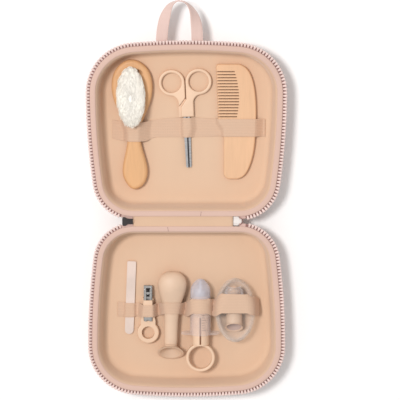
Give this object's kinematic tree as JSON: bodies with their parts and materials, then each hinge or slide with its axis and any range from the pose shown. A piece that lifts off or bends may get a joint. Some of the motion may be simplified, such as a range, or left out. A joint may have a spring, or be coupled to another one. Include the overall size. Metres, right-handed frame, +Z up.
{
  "type": "baby grooming kit",
  "caption": "Zip-round clamshell case, open flat, with a hair brush, comb, scissors, nail clipper, file, nasal aspirator, medicine dispenser and boxed finger toothbrush under elastic straps.",
  "frame": {"origin": "centre of the base half's resting face, on the table", "axes": "+X to the right, +Y from the base half to the lid half and its handle, +Z up"},
  "size_m": [0.1998, 0.4013, 0.0318],
  "materials": {
    "shell": "soft moulded cover",
    "liner": "fine ribbed",
    "trim": "woven, matt",
    "zip_teeth": "moulded",
    "strap": "elastic webbing",
    "dark_metal": "enamelled",
    "wood": "oiled beech",
    "bristle": "soft",
    "cream_plastic": "satin",
    "steel": "satin",
    "file_core": "plain",
    "grit": "fine grit",
    "soft_rubber": "soft silicone",
    "clear_plastic": "clear",
    "clear_rubber": "soft clear silicone"
  },
  "bodies": {
    "base": {"base_shell": "shell", "base_liner": "liner", "base_zip_tape": "trim", "base_zip_teeth": "zip_teeth", "base_rim_binding": "trim", "base_strap": "strap", "hinge_fabric": "trim", "zip_end_loop": "trim", "zip_slider": "dark_metal"},
    "lid": {"lid_shell": "shell", "lid_liner": "liner", "lid_zip_tape": "trim", "lid_zip_teeth": "zip_teeth", "lid_rim_binding": "trim", "lid_strap": "strap", "handle_tabs": "trim"},
    "handle": {"carry_handle": "trim"},
    "zip_tab": {"zip_pull": "dark_metal"},
    "brush": {"brush_body": "wood", "brush_bristles": "bristle"},
    "scissors_right": {"scissor_handle_right": "cream_plastic", "scissor_blade_right": "steel", "scissor_rivet": "steel"},
    "scissors_left": {"scissor_handle_left": "cream_plastic", "scissor_blade_left": "steel"},
    "comb_piece": {"comb": "wood"},
    "file": {"file_board": "file_core", "file_grit_front": "grit", "file_grit_back": "grit"},
    "clipper": {"clipper_body": "cream_plastic", "clipper_lower_jaw": "steel", "clipper_rear_rivet": "steel", "clipper_post": "steel"},
    "clipper_jaw": {"clipper_upper_jaw": "steel"},
    "clipper_arm": {"clipper_lever": "steel", "clipper_lever_grip": "cream_plastic"},
    "aspirator": {"aspirator_bulb": "soft_rubber", "aspirator_cup": "soft_rubber"},
    "dispenser": {"dispenser_barrel": "clear_plastic"},
    "tip": {"dispenser_tip": "clear_rubber"},
    "plunger": {"dispenser_plunger": "cream_plastic", "dispenser_seal": "soft_rubber"},
    "brush_case": {"brush_case_lower": "clear_plastic", "brush_case_upper": "clear_plastic", "finger_brush": "soft_rubber"}
  },
  "joints": [
    {"name": "lid_fold", "type": "hinge", "parent": "base", "child": "lid", "pos_m": [0, 0.091, 0.03015], "axis": [1, 0, 0], "range_deg": [0, 180], "deforming": ["hinge_fabric", "zip_end_loop"]},
    {"name": "handle_fold", "type": "hinge", "parent": "lid", "child": "handle", "pos_m": [-0.00675, 0.27255, 0.026], "axis": [1, 0, 0], "range_deg": [-40, 60]},
    {"name": "zip_pull_swing", "type": "hinge", "parent": "base", "child": "zip_tab", "pos_m": [-0.0591, 0.091, 0.02525], "axis": [0, 1, 0], "range_deg": [-80, 80]},
    {"name": "brush_slide", "type": "slide", "parent": "lid", "child": "brush", "axis": [-0.0314, 0.9995, 0], "range_m": [-0.008, 0.002], "deforming": ["lid_strap"]},
    {"name": "scissors_slide", "type": "slide", "parent": "lid", "child": "scissors_right", "axis": [-0.0454, 0.999, 0], "range_m": [-0.012, 0.008], "deforming": ["lid_strap"]},
    {"name": "scissors_open", "type": "hinge", "parent": "scissors_right", "child": "scissors_left", "pos_m": [0.0005, 0.1834, 0.0063], "axis": [0, 0, 1], "range_deg": [0, 6]},
    {"name": "comb_slide", "type": "slide", "parent": "lid", "child": "comb_piece", "axis": [0, 1, 0], "range_m": [-0.012, 0.004], "deforming": ["lid_strap"]},
    {"name": "file_slide", "type": "slide", "parent": "base", "child": "file", "axis": [0.0436, 0.999, 0], "range_m": [-0.015, 0.015], "deforming": ["base_strap"]},
    {"name": "clipper_slide", "type": "slide", "parent": "base", "child": "clipper", "axis": [0, 1, 0], "range_m": [-0.004, 0.015], "deforming": ["base_strap"]},
    {"name": "clipper_lever_press", "type": "hinge", "parent": "clipper", "child": "clipper_arm", "pos_m": [-0.0395, 0.0144, 0.01355], "axis": [1, 0, 0], "range_deg": [0, 3.5], "stiffness_Nm_per_rad": 0.6},
    {"name": "clipper_jaw_bite", "type": "hinge", "parent": "clipper", "child": "clipper_jaw", "pos_m": [-0.0395, -0.0122, 0.0095], "axis": [1, 0, 0], "range_deg": [-1.4, 0]},
    {"name": "aspirator_slide", "type": "slide", "parent": "base", "child": "aspirator", "axis": [0.0271, 0.9996, 0], "range_m": [-0.008, 0.006], "deforming": ["base_strap"]},
    {"name": "dispenser_slide", "type": "slide", "parent": "base", "child": "dispenser", "axis": [0, 1, 0], "range_m": [-0.005, 0], "deforming": ["base_strap"]},
    {"name": "dispenser_tip_pull", "type": "slide", "parent": "dispenser", "child": "tip", "axis": [0, 1, 0], "range_m": [0, 0.012]},
    {"name": "plunger_draw", "type": "slide", "parent": "dispenser", "child": "plunger", "axis": [0, -1, 0], "range_m": [-0.009, 0.005]},
    {"name": "brush_case_slide", "type": "slide", "parent": "base", "child": "brush_case", "axis": [0, 1, 0], "range_m": [0, 0.015], "deforming": ["base_strap"]}
  ],
  "couplings": [
    {"joint": "clipper_jaw_bite", "follows": "clipper_lever_press", "ratio": -0.38}
  ]
}
